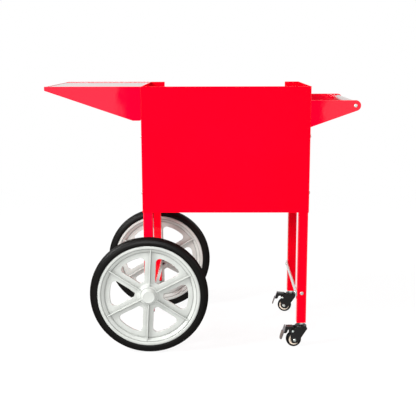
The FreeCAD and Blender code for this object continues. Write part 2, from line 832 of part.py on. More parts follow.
def fork_plate(y, direction):
    """One side of the fork: from the crown down to a round boss at the axle."""
    top = housing_low + 1.0
    heel = housing_r - 1.5
    points = [(heel, top), (-housing_r, top), (-housing_r - 15.0, crown_low - 1.0),
              (-caster_trail - fork_boss_r - 1.0, caster_wheel_r + 12.0),
              (-caster_trail - fork_boss_r + 1.0, caster_wheel_r - fork_boss_r + 1.0),
              (-caster_trail + fork_boss_r - 1.0, caster_wheel_r - fork_boss_r + 1.0),
              (1.0, 34.0), (heel + 1.0, 59.0)]
    face = rounded_face(points, [1.5, 6.0, 4.0, 6.0, 9.0, 9.0, 5.0, 4.0], flat_xz(y))
    return face.extrude(vec(0, direction * fork_t, 0))


def caster_fork():
    """A black fork: round swivel housing, crown and two side plates."""
    outer = fork_inner + fork_t
    plates = [fork_plate(outer, -1), fork_plate(-outer, 1)]
    crown_points = [(housing_r - 1.5, -outer), (housing_r - 1.5, outer), (-16.0, outer), (-16.0, -outer)]
    crown_face = rounded_face(crown_points, [4.0] * 4, flat_xy(crown_low))
    crown = crown_face.extrude(vec(0, 0, housing_low + 1 - crown_low))
    housing = rod(vec(0, 0, housing_low), vec(0, 0, 1), housing_r, housing_high - housing_low)
    rim = [e for e in housing.Edges if abs(e.CenterOfMass.z - housing_high) < 1e-3 and e.Closed]
    housing = housing.makeFillet(4.0, rim)
    bore = rod(vec(0, 0, crown_low - 1), vec(0, 0, 1), kingpin_r + running_gap, housing_high - crown_low + 2)
    holes = [bore]
    for x, z, radius in ((-caster_trail, caster_wheel_r, caster_axle_r), (brake_x, brake_z, brake_pin_r)):
        holes.append(rod(vec(x, -outer - 1, z), vec(0, 1, 0), radius, 2 * outer + 2))
    return fuse(plates + [crown, housing]).cut(Part.makeCompound(holes))


def pin(x, z, radius, head_r, head_h):
    """A cross pin through the fork with a domed head on each side."""
    outer = fork_inner + fork_t
    pieces = [rod(vec(x, -outer, z), vec(0, 1, 0), radius, 2 * outer)]
    for direction in (-1, 1):
        head = rod(vec(x, direction * outer, z), vec(0, direction, 0), head_r, head_h)
        rim = [e for e in head.Edges if e.Closed and abs(e.CenterOfMass.y) > outer + head_h / 2]
        pieces.append(head.makeFillet(head_h * 0.6, rim))
    return fuse(pieces)


def caster_tyre():
    half = caster_tyre_half
    points = [(-caster_core_half, caster_core_r), (-half, caster_core_r + 2), (-half, caster_wheel_r - 3),
              (half, caster_wheel_r - 3), (half, caster_core_r + 2), (caster_core_half, caster_core_r)]
    tyre = turned(points, {2: (0, caster_wheel_r)})
    tyre.translate(vec(-caster_trail, 0, caster_wheel_r))
    return tyre


def caster_core():
    """The pale wheel centre with a dished face and a hub that reaches close to the fork."""
    half = caster_core_half
    hub_half = fork_inner - side_play
    bore = caster_axle_r + running_gap
    points = [(-half, 13.0), (-half, caster_core_r), (half, caster_core_r), (half, 13.0), (half - 3, 11.5),
              (half - 3, 7.0), (hub_half, 6.5), (hub_half, bore), (-hub_half, bore), (-hub_half, 6.5),
              (-half + 3, 7.0), (-half + 3, 11.5)]
    core = turned(points)
    core.translate(vec(-caster_trail, 0, caster_wheel_r))
    return core


def pedal_frame():
    """The pedal plate's top, its unit direction down the plate, and its outward normal, in X and Z."""
    top = vec(pedal_top[0], 0, pedal_top[1])
    foot = vec(pedal_foot[0], 0, pedal_foot[1])
    down = (foot - top).normalize()
    outward = vec(down.z, 0, -down.x)
    return top, foot, down, outward


def slab(start, along, length, outward, thickness, width):
    """A flat bar of the given width across Y, from start along a direction."""
    across = vec(0, width, 0)
    corner = start - across / 2
    corners = [corner, corner + along * length, corner + along * length + across, corner + across]
    return Part.Face(Part.makePolygon(corners + corners[:1])).extrude(outward * thickness)


def lever_flange(y, direction):
    """One side of the pressed lever: from its pivot over the wheel, then down behind the pedal plate."""
    top, _, down, _ = pedal_frame()
    high = top + down * 2.6
    low = top + down * 24.5
    points = [(-24.0, 49.5), (-21.5, 64.0), (-26.0, 67.0), (high.x, high.z), (low.x, low.z), (-47.0, 45.5),
              (-42.5, 57.0), (-34.5, 57.5), (-33.5, 49.5)]
    face = rounded_face(points, [4.0, 2.5, 3.0, 0.5, 0.5, 5.0, 4.0, 3.0, 4.0], flat_xz(y))
    return face.extrude(vec(0, direction * flange_t, 0))


def brake_pedal():
    """The brake lever, a pressed channel: hub on its pin, two flanges, a top web and the pedal plate."""
    top, foot, down, outward = pedal_frame()
    hub_at = vec(brake_x, 0, brake_z)
    hub_half = fork_inner - side_play
    hub = rod(hub_at - vec(0, hub_half, 0), vec(0, 1, 0), brake_hub_r, 2 * hub_half)
    flanges = [lever_flange(arm_w / 2, -1), lever_flange(-arm_w / 2, 1)]
    web_start = vec(-26.0, 0, 65.0)
    meet = top + down * 4.7
    web_dir = (meet - web_start).normalize()
    web_up = vec(web_dir.z, 0, -web_dir.x)
    web = slab(web_start, web_dir, (meet - web_start).Length, web_up, flange_t, arm_w)
    plate = slab(top, down, (foot - top).Length, outward, pedal_t, pedal_w)
    lever = fuse(flanges + [hub, web, plate])
    return lever.cut(rod(hub_at - vec(0, arm_w, 0), vec(0, 1, 0), brake_pin_r + running_gap, 2 * arm_w))


def pedal_pad():
    """A ribbed foot pad on the lower half of the pedal plate."""
    top, foot, down, outward = pedal_frame()
    start = top + down * 20.0 + outward * pedal_t
    length = (foot - top).Length - 20.0
    pad = slab(start, down, length, outward, pad_t, pedal_w)
    for i in range(4):
        groove = start + down * (4.0 + 5.5 * i) + outward * (pad_t - 0.8)
        pad = pad.cut(slab(groove, down, 2.0, outward, 2.0, pedal_w + 2))
    return pad


# ---- writing the pieces ------------------------------------------------------------------------------------

def pieces():
    """Every node's name with its solid or its group of solids."""
    yield "front_panel", front_panel()
    for name, side in SIDES.items():
        yield name + "_side_panel", side_panel(side)
        yield name + "_stretcher", stretcher(side)
        for end_name, end in ENDS.items():
            yield end_name + "_" + name + "_leg", leg(side, end)
    yield "deck", tray(deck_z, False)
    yield "storage_floor", tray(floor_z, True)
    yield "panel_bolts", panel_bolts()
    yield "leg_rivet_nuts", rivet_nuts()
    yield "tray_bolts", tray_bolts()
    yield "stretcher_screws", stretcher_screws()
    yield "stretcher_nuts", stretcher_nuts()
    yield "axle_blocks", axle_blocks()
    yield "leg_plugs", leg_plugs()
    yield "leg_face_bolts", face_bolts()
    yield "caster_sockets", caster_sockets()
    yield "axle_spacers", [carry_wheel(axle_spacer(), end) for end in ENDS.values()]
    yield "axle_washers", [carry_wheel(axle_washer(), end) for end in ENDS.values()]
    yield "axle_nuts", [carry_wheel(axle_nut(), end) for end in ENDS.values()]
    yield "shelf_nose", shelf_nose()
    yield "shelf_top", shelf_top()
    yield "shelf_studs", shelf_studs()
    yield "shelf_bolts", bracket_bolts(-1, shelf_gap + shelf_plate)
    yield "handle_tube", handle_tube()
    yield "handle_end_bolts", handle_end_bolts()
    yield "handle_bolts", bracket_bolts(1, handle_plate)
    for name, end in ENDS.items():
        yield "shelf_wing_" + name, shelf_wing(end)
        yield "handle_plate_" + name, handle_side(end)
        yield name + "_wheel_rim", carry_wheel(wheel_rim(), end)
        yield name + "_wheel_tyre", carry_wheel(wheel_tyre(), end)
        yield name + "_wheel_cap", carry_wheel(wheel_cap(), end)
        yield name + "_wheel_bushes", [carry_wheel(bush, end) for bush in wheel_bushes()]
        yield name + "_axle", carry_wheel(axle(), end)
        yield name + "_caster_stem", carry_caster(caster_stem(), name)
        yield name + "_caster_fork", carry_caster(caster_fork(), name)
        yield name + "_caster_tyre", carry_caster(caster_tyre(), name)
        yield name + "_caster_core", carry_caster(caster_core(), name)
        yield name + "_caster_axle", carry_caster(
            pin(-caster_trail, caster_wheel_r, caster_axle_r, caster_nut_r, caster_nut_h), name)
        yield name + "_brake_pin", carry_caster(pin(brake_x, brake_z, brake_pin_r, 3.5, 1.6), name)
        yield name + "_brake_pedal", carry_caster(brake_pedal(), name)
        yield name + "_pedal_pad", carry_caster(pedal_pad(), name)


def main():
    os.makedirs("parts", exist_ok=True)
    for name, shape in pieces():
        solid = Part.makeCompound(shape) if isinstance(shape, list) else shape
        solid.exportStep(os.path.join("parts", name + ".step"))
        box = solid.BoundBox
        spans = [(box.XMin, box.XMax), (box.YMin, box.YMax), (box.ZMin, box.ZMax)]
        size = "  ".join(f"{low:.1f}..{high:.1f}" for low, high in spans)
        print(f"{name:24s} solids {len(solid.Solids):2d} valid {solid.isValid()} {solid.Volume:10.0f}  {size}")


main()
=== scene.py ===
"""Looks of the wheeled popcorn cart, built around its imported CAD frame.

Metres, in the frame's own axes.
"""

import json
import math

import bmesh
import bpy
from mathutils import Matrix, Vector


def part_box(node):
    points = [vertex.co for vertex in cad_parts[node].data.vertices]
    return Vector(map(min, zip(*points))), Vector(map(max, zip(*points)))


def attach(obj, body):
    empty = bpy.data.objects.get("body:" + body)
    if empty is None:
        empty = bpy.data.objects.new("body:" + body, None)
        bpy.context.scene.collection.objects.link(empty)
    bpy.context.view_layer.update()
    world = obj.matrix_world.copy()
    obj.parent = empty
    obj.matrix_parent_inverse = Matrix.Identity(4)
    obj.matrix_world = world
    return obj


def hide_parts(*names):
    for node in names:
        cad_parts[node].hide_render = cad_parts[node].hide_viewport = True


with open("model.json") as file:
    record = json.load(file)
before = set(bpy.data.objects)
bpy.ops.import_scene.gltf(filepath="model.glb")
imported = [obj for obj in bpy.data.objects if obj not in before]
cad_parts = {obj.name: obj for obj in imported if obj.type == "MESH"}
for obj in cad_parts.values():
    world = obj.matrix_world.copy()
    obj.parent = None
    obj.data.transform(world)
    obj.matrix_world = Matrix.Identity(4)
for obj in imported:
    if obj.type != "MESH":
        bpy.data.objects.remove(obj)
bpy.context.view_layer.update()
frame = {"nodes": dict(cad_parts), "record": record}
nodes = frame["nodes"]

MM = 0.001
ENDS = {"front": -1, "rear": 1}

# ---- camera and light ----------------------------------------------------------------------------

panel_low, panel_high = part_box("front_panel")
body_x = (panel_low.x + panel_high.x) / 2
front_y = panel_low.y
CAMERA_ASIDE = -0.0255
CAMERA_AWAY = 2.4073
CAMERA_UP = 0.922
CAMERA_YAW = math.radians(-0.679)
CAMERA_PITCH = math.radians(11.115)
CAMERA_ROLL = math.radians(0.151)
CAMERA_LENS = 69.31
SENSOR = 36.0


def make_camera():
    """A long lens in front of the cabinet, looking slightly down."""
    data = bpy.data.cameras.new("camera")
    data.sensor_width = SENSOR
    data.lens = CAMERA_LENS
    camera = bpy.data.objects.new("camera", data)
    bpy.context.scene.collection.objects.link(camera)
    level = math.cos(CAMERA_PITCH)
    forward = Vector((math.sin(CAMERA_YAW) * level, math.cos(CAMERA_YAW) * level, -math.sin(CAMERA_PITCH)))
    turn = forward.to_track_quat("-Z", "Y").to_matrix().to_4x4() @ Matrix.Rotation(-CAMERA_ROLL, 4, "Z")
    place = Vector((body_x + CAMERA_ASIDE, front_y - CAMERA_AWAY, CAMERA_UP))
    camera.matrix_world = Matrix.Translation(place) @ turn
    bpy.context.scene.camera = camera


def area_light(name, azimuth, elevation, distance, size, power):
    """A softbox that faces the cart; azimuth is 0 in front of it and grows towards the handle's side."""
    around = math.radians(azimuth)
    above = math.radians(elevation)
    target = Vector((body_x, 0, LIGHT_AIM))
    level = math.cos(above)
    offset = Vector((math.sin(around) * level, -math.cos(around) * level, math.sin(above)))
    data = bpy.data.lights.new(name, "AREA")
    data.shape = "RECTANGLE"
    data.size, data.size_y = size
    data.energy = power
    light = bpy.data.objects.new(name, data)
    light.location = target + offset * distance
    light.rotation_mode = "QUATERNION"
    light.rotation_quaternion = (-offset).to_track_quat("-Z", "Y")
    bpy.context.scene.collection.objects.link(light)


# ---- mesh building -------------------------------------------------------------------------------

def arc(centre, radius, start, end, steps):
    """Points along an arc in degrees, both ends included."""
    points = []
    for i in range(steps + 1):
        turn = math.radians(start + (end - start) * i / steps)
        points.append((centre[0] + radius * math.cos(turn), centre[1] + radius * math.sin(turn)))
    return points


def rounded(corners, steps=5):
    """A closed outline from (x, y, radius) corners, each replaced by an arc of its radius."""
    outline = []
    for i, (x, y, radius) in enumerate(corners):
        here = Vector((x, y))
        before = (Vector(corners[i - 1][:2]) - here).normalized()
        after = (Vector(corners[(i + 1) % len(corners)][:2]) - here).normalized()
        half = before.angle(after) / 2
        if radius <= 0 or half > math.radians(89.5):
            outline.append((x, y))
            continue
        centre = here + (before + after).normalized() * (radius / math.sin(half))
        first = here + before * (radius / math.tan(half)) - centre
        last = here + after * (radius / math.tan(half)) - centre
        for step in range(steps + 1):
            spoke = first.lerp(last, step / steps).normalized() * radius
            outline.append(tuple(centre + spoke))
    return outline


def closed_mesh(shape, name):
    bmesh.ops.remove_doubles(shape, verts=shape.verts, dist=1e-7)
    bmesh.ops.recalc_face_normals(shape, faces=shape.faces)
    mesh = bpy.data.meshes.new(name)
    shape.to_mesh(mesh)
    shape.free()
    return mesh


def lathe(name, outline, steps=64):
    """Turns a closed (along Y, radius) outline about the Y axis."""
    shape = bmesh.new()
    rings = []
    for i in range(steps):
        turn = 2 * math.pi * i / steps
        across = math.sin(turn)
        up = math.cos(turn)
        rings.append([shape.verts.new((r * across, u, r * up)) for u, r in outline])
    for i, ring in enumerate(rings):
        following = rings[(i + 1) % steps]
        for j in range(len(outline)):
            k = (j + 1) % len(outline)
            if outline[j][1] > 0 or outline[k][1] > 0:
                shape.faces.new((ring[j], ring[k], following[k], following[j]))
    return closed_mesh(shape, name)


def plate(name, outlines, thickness, edge, segments=3):
    """A flat plate in XZ, centred on Y = 0, with round edges; the outlines after the first are holes."""
    shape = bmesh.new()
    for outline in outlines:
        loop = [shape.verts.new((x, -thickness / 2, z)) for x, z in outline]
        for i, vert in enumerate(loop):
            shape.edges.new((vert, loop[(i + 1) % len(loop)]))
    bmesh.ops.triangle_fill(shape, edges=shape.edges[:], use_beauty=True)
    grown = bmesh.ops.extrude_face_region(shape, geom=shape.faces[:])["geom"]
    far_side = [item for item in grown if isinstance(item, bmesh.types.BMVert)]
    bmesh.ops.translate(shape, verts=far_side, vec=(0, thickness, 0))
    bmesh.ops.recalc_face_normals(shape, faces=shape.faces)
    soften(shape, edge, segments)
    return closed_mesh(shape, name)


def soften(shape, edge, segments=3, angle=50):
    """Rounds every edge that is sharper than the angle."""
    limit = math.radians(angle)
    sharp = [e for e in shape.edges if len(e.link_faces) == 2 and e.calc_face_angle() > limit]
    bmesh.ops.bevel(shape, geom=sharp, offset=edge, segments=segments, profile=0.5, affect="EDGES",
                    clamp_overlap=True)


def prism(name, centre, size, edge, segments=2):
    """A block with round edges."""
    shape = bmesh.new()
    bmesh.ops.create_cube(shape, size=1.0)
    bmesh.ops.scale(shape, verts=shape.verts, vec=size)
    bmesh.ops.translate(shape, verts=shape.verts, vec=centre)
    soften(shape, edge, segments)
    return closed_mesh(shape, name)


def turned_mesh(mesh, matrix):
    mesh.transform(matrix)
    return mesh


def union(name, meshes):
    """One closed mesh from closed meshes that overlap."""
    scene = bpy.context.scene.collection
    carriers = []
    for mesh in meshes:
        carrier = bpy.data.objects.new("carrier", mesh)
        scene.objects.link(carrier)
        carriers.append(carrier)
    for other in carriers[1:]:
        join = carriers[0].modifiers.new("join", "BOOLEAN")
        join.operation = "UNION"
        join.solver = "EXACT"
        join.object = other
    graph = bpy.context.evaluated_depsgraph_get()
    joined = bpy.data.meshes.new_from_object(carriers[0].evaluated_get(graph), depsgraph=graph)
    for carrier in carriers:
        bpy.data.objects.remove(carrier)
    joined.name = name
    return joined


def build(name, mesh, place, body, stands_for, slot, sharp=32):
    """A finished piece: placed, shaded smooth between its edges, dressed and carried by its body."""
    mesh.transform(place)
    mesh.name = name
    for face in mesh.polygons:
        face.use_smooth = True
    mesh.set_sharp_from_angle(angle=math.radians(sharp))
    piece = bpy.data.objects.new(name, mesh)
    bpy.context.scene.collection.objects.link(piece)
    shading = piece.modifiers.new("shading", "WEIGHTED_NORMAL")
    shading.keep_sharp = True
    dress(piece, slot)
    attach(piece, body)
    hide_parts(*stands_for)
    return piece


# ---- shader building -----------------------------------------------------------------------------

def add_node(tree, kind, inputs=None, **settings):
    """A shader node with its settings; an input is a plain value or another node's output socket."""
    made = tree.nodes.new(kind)
    for key, value in settings.items():
        setattr(made, key, value)
    for key, value in (inputs or {}).items():
        if isinstance(value, bpy.types.NodeSocket):
            tree.links.new(value, made.inputs[key])
        else:
            made.inputs[key].default_value = value
    return made


class Finish:
    """A material in the making: a Principled surface with helpers for noise, mixes and bumps."""

    def __init__(self, name, metallic=0.0, coat=0.0, coat_roughness=0.05, specular=0.5):
        self.material = bpy.data.materials.new(name)
        self.material.use_nodes = True
        self.tree = self.material.node_tree
        self.surface = self.tree.nodes["Principled BSDF"]
        self.surface.inputs["Metallic"].default_value = metallic
        self.surface.inputs["Coat Weight"].default_value = coat
        self.surface.inputs["Coat Roughness"].default_value = coat_roughness
        self.surface.inputs["Specular IOR Level"].default_value = specular
        self.place = self.add("ShaderNodeTexCoord").outputs["Object"]
        self.normal = None

    def add(self, kind, inputs=None, **settings):
        return add_node(self.tree, kind, inputs, **settings)

    def noise(self, scale, detail=2.0, roughness=0.5, stretch=None):
        where = self.place
        if stretch:
            where = self.add("ShaderNodeMapping", {"Vector": where, "Scale": stretch}).outputs[0]
        inputs = {"Vector": where, "Scale": scale, "Detail": detail, "Roughness": roughness}
        return self.add("ShaderNodeTexNoise", inputs).outputs["Fac"]

    def ramp(self, value, low, high, to_low=0.0, to_high=1.0):
        inputs = {"Value": value, "From Min": low, "From Max": high, "To Min": to_low, "To Max": to_high}
        return self.add("ShaderNodeMapRange", inputs).outputs[0]

    def mix(self, amount, first, second):
        inputs = {0: amount, 6: first, 7: second}
        return self.add("ShaderNodeMix", inputs, data_type="RGBA").outputs[2]

    def maths(self, operation, first, second=0.0):
        return self.add("ShaderNodeMath", {0: first, 1: second}, operation=operation).outputs[0]

    def soft_edges(self, radius):
        """Shades the edges as if they were round."""
        self.normal = self.add("ShaderNodeBevel", {"Radius": radius}, samples=6).outputs[0]

    def bump(self, height, depth, strength=1.0):
        inputs = {"Height": height, "Distance": depth, "Strength": strength}
        if self.normal:
            inputs["Normal"] = self.normal
        self.normal = self.add("ShaderNodeBump", inputs).outputs[0]

    def crease(self, reach, low=0.4, high=0.95):
        """0 in open places and 1 deep in corners."""
        shade = self.add("ShaderNodeAmbientOcclusion", {"Distance": reach}, samples=8).outputs["AO"]
        return self.ramp(shade, low, high, 1.0, 0.0)

    def edge(self, radius):
        """1 along sharp outer edges and 0 on flat faces."""
        soft = self.add("ShaderNodeBevel", {"Radius": radius}, samples=6).outputs[0]
        true = self.add("ShaderNodeNewGeometry").outputs["Normal"]
        along = self.add("ShaderNodeVectorMath", {0: soft, 1: true}, operation="DOT_PRODUCT").outputs["Value"]
        return self.ramp(along, 0.995, 0.9)

    def done(self, colour, roughness):
        links = {"Base Color": colour, "Roughness": roughness}
        if self.normal:
            links["Normal"] = self.normal
        for key, value in links.items():
            if isinstance(value, bpy.types.NodeSocket):
                self.tree.links.new(value, self.surface.inputs[key])
            else:
                self.surface.inputs[key].default_value = value
        return self.material


def rgb(red, green, blue):
    return (red, green, blue, 1.0)


# ---- finishes ------------------------------------------------------------------------------------

def red_enamel(name, blue):
    """Gloss red powder coat on thin sheet: slow waves in the sheet, fine orange peel, painted shade in the
    creases, rubbed edges.
    """
    paint = Finish(name, coat=1.0, coat_roughness=0.03, specular=0.0)
    fresh = rgb(0.80, 0.0002, blue)
    faded = rgb(0.765, 0.0002, blue * 1.2)
    shaded = rgb(0.42, 0.0002, blue * 0.4)
    worn = rgb(0.86, 0.03, 0.03)
    colour = paint.mix(paint.ramp(paint.noise(5.0, 3.0), 0.3, 0.7), fresh, faded)
    # painted shade: the red turns darker in creases and corners
    colour = paint.mix(paint.maths("MULTIPLY", paint.crease(0.02), 0.35), colour, shaded)
    patches = paint.ramp(paint.noise(60.0, 4.0), 0.42, 0.62)
    rubbed = paint.maths("MULTIPLY", paint.edge(0.0009), patches)
    colour = paint.mix(paint.maths("MULTIPLY", rubbed, 0.3), colour, worn)
    paint.bump(paint.noise(6.5, 2.0), 0.0006)
    paint.bump(paint.noise(40.0, 3.0), 0.00005)
    paint.bump(paint.noise(900.0, 2.0), 0.000004)
    paint.tree.links.new(paint.normal, paint.surface.inputs["Coat Normal"])
    return paint.done(colour, 0.4)


def stainless():
    """Brushed stainless sheet, grained along its length."""
    steel = Finish("stainless", metallic=1.0)
    grain = steel.noise(60.0, 6.0, 0.65, stretch=(1.2, 40.0, 40.0))
    colour = steel.mix(grain, rgb(0.58, 0.525, 0.51), rgb(0.70, 0.645, 0.63))
    steel.bump(grain, 0.00002)
    return steel.done(colour, steel.ramp(grain, 0.3, 0.7, 0.26, 0.42))


def zinc(name, roughness):
    """Bright zinc plate with a faint greenish passivation and a fine satin grain."""
    plated = Finish(name, metallic=1.0)
    cloud = plated.noise(90.0, 4.0)
    colour = plated.mix(plated.ramp(cloud, 0.35, 0.65), rgb(0.80, 0.84, 0.81), rgb(0.68, 0.75, 0.71))
    plated.bump(plated.noise(1400.0, 2.0), 0.00001)
    return plated.done(colour, plated.ramp(cloud, 0.3, 0.7, roughness - 0.08, roughness + 0.08))


def dark_metal(name, tone, roughness):
    """Black-finished steel: slightly brown in random patches, a fine grain and rubbed edges."""
    black = Finish(name, coat=0.15, coat_roughness=0.12, specular=0.2)
    cloud = black.noise(110.0, 4.0)
    colour = black.mix(cloud, rgb(tone, tone, tone), rgb(tone * 1.9, tone * 1.6, tone * 1.5))
    rubbed = black.maths("MULTIPLY", black.edge(0.0006), 0.25)
    colour = black.mix(rubbed, colour, rgb(0.16, 0.15, 0.14))
    black.bump(black.noise(900.0, 3.0), 0.00004)
    return black.done(colour, black.ramp(cloud, 0.3, 0.7, roughness - 0.08, roughness + 0.1))


def dark_zinc(name, tone):
    """Dark-passivated zinc: a satin metal, a little blue and brown in patches."""
    dark = Finish(name, metallic=1.0)
    cloud = dark.noise(70.0, 4.0)
    bluish = rgb(tone, tone * 0.96, tone * 1.07)
    brownish = rgb(tone * 0.65, tone * 0.58, tone * 0.54)
    colour = dark.mix(dark.ramp(cloud, 0.35, 0.65), bluish, brownish)
    dark.bump(dark.noise(1200.0, 2.0), 0.00002)
    return dark.done(colour, dark.ramp(cloud, 0.3, 0.7, 0.28, 0.42))


def moulded(name, light, dark, roughness, grain_depth, soft=0.0006):
    """Moulded plastic: soft edges, faint flow clouds, fine grain, and a little dust with painted shade in the
    creases.
    """
    plastic = Finish(name, specular=0.5)
    plastic.soft_edges(soft)
    flow = plastic.noise(22.0, 3.0)
    colour = plastic.mix(plastic.ramp(flow, 0.35, 0.65), rgb(*light), rgb(*dark))
    # painted shade with a little dust: the plastic turns darker in creases and corners
    crease_dust_and_shade = tuple(0.55 * value for value in dark)
    colour = plastic.mix(plastic.maths("MULTIPLY", plastic.crease(0.014), 0.55), colour, rgb(*crease_dust_and_shade))
    plastic.bump(plastic.noise(1300.0, 2.0), grain_depth)
    return plastic.done(colour, plastic.ramp(flow, 0.3, 0.7, roughness - 0.05, roughness + 0.07))


def tyre_rubber():
    """Black rubber, brownish where the bloom has come out, scuffed, with a fine grain."""
    rubber = Finish("tyre_rubber", coat=0.09, coat_roughness=0.44, specular=0.0)
    rubber.surface.inputs["Coat IOR"].default_value = 2.4
    bloom = rubber.noise(18.0, 5.0, 0.6)
    black = rgb(0.0007, 0.0005, 0.0004)
    brownish = rgb(0.0024, 0.0017, 0.0011)
    colour = rubber.mix(rubber.ramp(bloom, 0.35, 0.7), black, brownish)
    scuff = rubber.maths("MULTIPLY", rubber.ramp(rubber.noise(160.0, 4.0), 0.52, 0.75), 0.3)
    colour = rubber.mix(scuff, colour, rgb(0.009, 0.007, 0.0055))
    rubber.bump(rubber.noise(600.0, 3.0), 0.00004)
    rubber.tree.links.new(rubber.normal, rubber.surface.inputs["Coat Normal"])
    return rubber.done(colour, rubber.ramp(bloom, 0.3, 0.7, 0.26, 0.33))


PANEL_BLUE = 0.010
BRACKET_BLUE = 0.017

FINISHES = {
    "red_enamel": red_enamel("red_enamel", PANEL_BLUE),
    "stainless": stainless(),
    "zinc": zinc("zinc", 0.30),
    "black_steel": dark_metal("black_steel", 0.004, 0.34),
    "black_zinc": dark_zinc("black_zinc", 0.13),
    "grey_plastic": moulded("grey_plastic", (0.485, 0.50, 0.475), (0.435, 0.45, 0.425), 0.40, 0.00003),
    "tyre_rubber": tyre_rubber(),
    "nylon": moulded("nylon", (0.75, 0.72, 0.64), (0.68, 0.64, 0.56), 0.5, 0.00002),
    "cream_plastic": moulded("cream_plastic", (0.98, 0.84, 0.70), (0.92, 0.78, 0.63), 0.38, 0.00002),
    "black_plastic": moulded("black_plastic", (0.02, 0.02, 0.02), (0.014, 0.014, 0.014), 0.5, 0.00004),
    "pad_rubber": moulded("pad_rubber", (0.16, 0.125, 0.11), (0.11, 0.085, 0.075), 0.6, 0.00006),
}
BRACKET_PAINT = red_enamel("red_enamel_brackets", BRACKET_BLUE)
PIN_ZINC = zinc("zinc_pins", 0.48)
PEDAL_ZINC = dark_zinc("pedal_zinc", 0.50)

# Pieces whose finish differs a little from the rest of their slot
OWN_FINISH = {
    "front_left_leg": BRACKET_PAINT,
    "shelf_wing_front": BRACKET_PAINT,
    "shelf_wing_rear": BRACKET_PAINT,
    "shelf_nose": BRACKET_PAINT,
    "handle_plate_front": BRACKET_PAINT,
    "handle_plate_rear": BRACKET_PAINT,
    "leg_face_bolts": PIN_ZINC,
    "handle_end_bolts": PIN_ZINC,
}
for end_name in ENDS:
    OWN_FINISH[end_name + "_axle_bolt"] = PIN_ZINC
    OWN_FINISH[end_name + "_brake_rivet"] = PIN_ZINC
    OWN_FINISH[end_name + "_pedal"] = PEDAL_ZINC


def dress(piece, slot):
    """Gives a piece its own finish, or else its slot's."""
    piece.data.materials.clear()
    piece.data.materials.append(OWN_FINISH.get(piece.name, FINISHES[slot]))


# Sheet and tube whose cut edges get a small round, in millimetres
ROUNDED_NODES = {
    0.3: ["front_panel", "left_side_panel", "right_side_panel", "deck", "storage_floor"],
    0.5: ["shelf_wing_front", "shelf_wing_rear", "shelf_nose", "shelf_top", "handle_plate_front",
          "handle_plate_rear", "left_stretcher", "right_stretcher", "leg_plugs"],
}


def dress_cad_nodes():
    """Every CAD node gets the finish of its own material slot, and sheet parts get round edges."""
    for row in frame["record"]["subparts"]:
        dress(nodes[row["node"]], row["material_slot"])
    for radius, names in ROUNDED_NODES.items():
        for name in names:
            edge = nodes[name].modifiers.new("edge", "BEVEL")
            edge.width = radius * MM
            edge.segments = 2
            edge.limit_method = "ANGLE"
            edge.angle_limit = math.radians(40)
            edge.harden_normals = True
            edge.use_clamp_overlap = True


# ---- large wheels --------------------------------------------------------------------------------
# Drawn in millimetres about the Y axis with the outer face towards -Y, then carried to each wheel's place.

WHEEL_REST = {"front": 3.1, "rear": -1.0}
SPOKES = 6
TYRE_ROUND = 17.7
TYRE_R = 183.0
FLANGE_R = 158.8
BED_R = 153.0
BED_HALF = 11.0
MOUTH_HALF = 12.5
WEB_R = 135.8
WEB_STEP = 3
WEB_T = 9.0
SPOKE_HALF = 16.5
WINDOW_OUT = 121.0
WINDOW_IN = 45.0
RIB_T = 3.6
RIB_HALF = 13.2
RIB_START = 22.0
RIB_END = 147.6
TREAD_GROOVES = (-7.0, 0.0, 7.0)
GROOVE_DEPTH = 0.8
GROOVE_HALF = 1.1
SHOULDER_LINE = 0.45
SHOULDER_ARC = (33, 36)
HUB_HALF = 13.0
SLEEVE_END = 22.0
BORE_R = 10.0


def scaled(outline):
    """Millimetres to metres."""
    return [(a * MM, b * MM) for a, b in outline]


def mirrored(outline):
    """The outline and its mirror image across u = 0, as one closed loop."""
    return outline + [(-u, r) for u, r in reversed(outline)]


def rim_band():
    """The tyre bed, a convex bead, a small step and a slope down to the web, the same on both faces."""
    outer = [(-BED_HALF, BED_R), (-MOUTH_HALF, FLANGE_R - 0.4), (-13.6, FLANGE_R - 0.1), (-14.8, 158.2),
             (-15.5, 157.0), (-15.9, 155.0), (-16.0, 152.8), (-15.8, 150.8), (-15.3, 149.4), (-14.5, 148.6),
             (-11.6, 148.3), (-11.3, 147.8), (-11.6, 147.2), (-12.8, 146.9), (-12.9, 146.2), (-9.8, 141.4),
             (-7.6, 138.8), (-6.6, 138.0), (-3.4, 137.6), (-3.2, 134.6)]
    return lathe("rim_band", scaled(mirrored(outer)), 128)


def window_outline():
    """An opening between two spokes, with its middle along +X."""
    half_turn = 180 / SPOKES
    corners = []
    for radius, corner in ((WINDOW_IN, 7.5), (WINDOW_OUT, 13.0)):
        turn = math.radians(half_turn - math.degrees(math.asin(SPOKE_HALF / radius)))
        corners.append((radius * math.cos(turn), radius * math.sin(turn), corner))
    (in_x, in_z, in_corner), (out_x, out_z, out_corner) = corners
    spread = math.degrees(math.atan2(out_z, out_x))
    bow = arc((0, 0), WINDOW_OUT, -spread * 0.62, spread * 0.62, 8)
    path = [(in_x, -in_z, in_corner), (out_x, -out_z, out_corner)]
    path += [(x, z, 0) for x, z in bow]
    path += [(out_x, out_z, out_corner), (in_x, in_z, in_corner)]
    return rounded(path, 7)


def turned_outline(outline, degrees):
    """The outline turned about the wheel's centre."""
    across = math.cos(math.radians(degrees))
    up = math.sin(math.radians(degrees))
    return [(x * across - z * up, x * up + z * across) for x, z in outline]


def rim_web():
    """The flat web, cut away between the spokes."""
    outlines = [arc((0, 0), WEB_R, 0, 360 - WEB_STEP, 360 // WEB_STEP - 1)]
    for i in range(SPOKES):
        outlines.append(turned_outline(window_outline(), 360 / SPOKES * (i + 0.5) + 90))
    return plate("rim_web", [scaled(outline) for outline in outlines], WEB_T * MM, 1.3 * MM)


